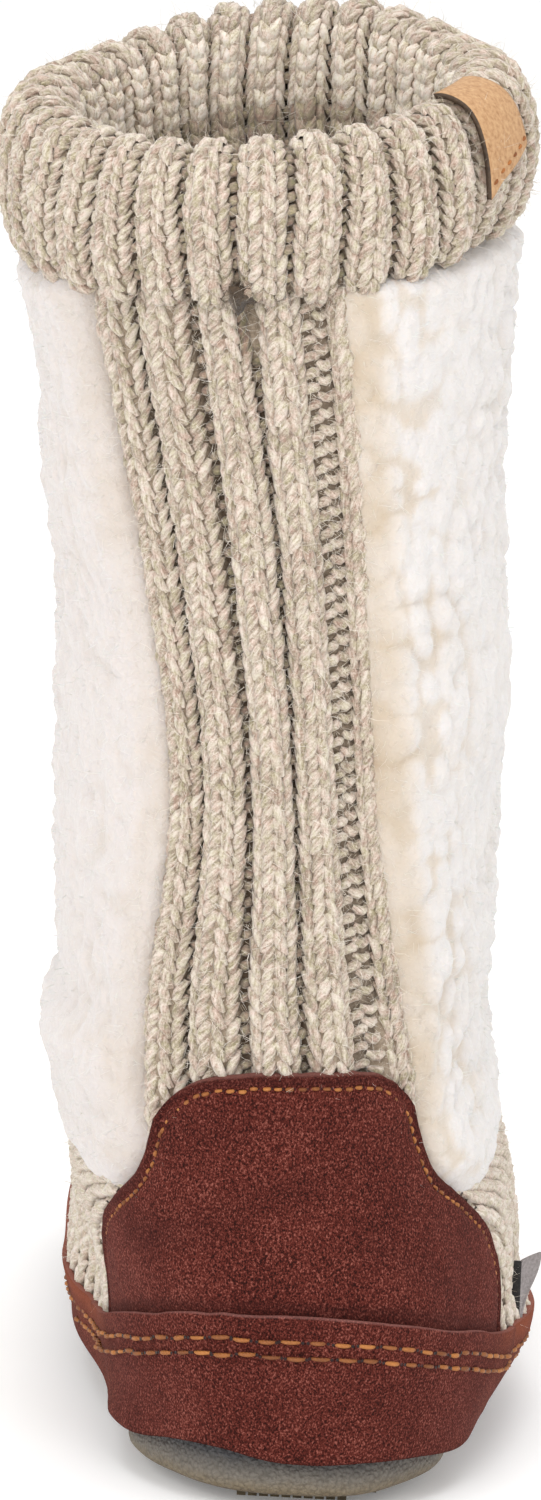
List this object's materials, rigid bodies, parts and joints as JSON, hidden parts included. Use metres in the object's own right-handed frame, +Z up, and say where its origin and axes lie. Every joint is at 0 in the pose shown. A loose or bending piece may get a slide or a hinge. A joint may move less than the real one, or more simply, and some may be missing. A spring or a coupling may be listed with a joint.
{
  "type": "bootie slipper",
  "caption": "Tall knit bootie slipper with sherpa side panels, folded rib cuff, suede heel patch and sidewall, and a rubber outsole.",
  "frame": {"origin": "on the floor at the middle of the heel's tread", "axes": "+Z up, +Y towards the toe, +X to the outer side of the right foot"},
  "size_m": [0.1142, 0.2706, 0.2727],
  "materials": {
    "knit": "chunky rib knit in flecked oatmeal yarn",
    "sherpa": "deep cream pile in soft tufts",
    "suede": "dark red-brown napped suede",
    "rubber": "grained grey",
    "fleece": "soft brushed fleece",
    "leather": "smooth tan with dark cut edges",
    "label": "woven grey"
  },
  "bodies": {
    "root": {"outsole": "rubber", "insole": "fleece", "foxing": "suede", "upper": "knit", "sherpa_panel_inner": "sherpa", "sherpa_panel_outer": "sherpa", "heel_patch": "suede", "cuff": "knit", "cuff_tab": "leather", "side_label": "label"}
  },
  "joints": []
}
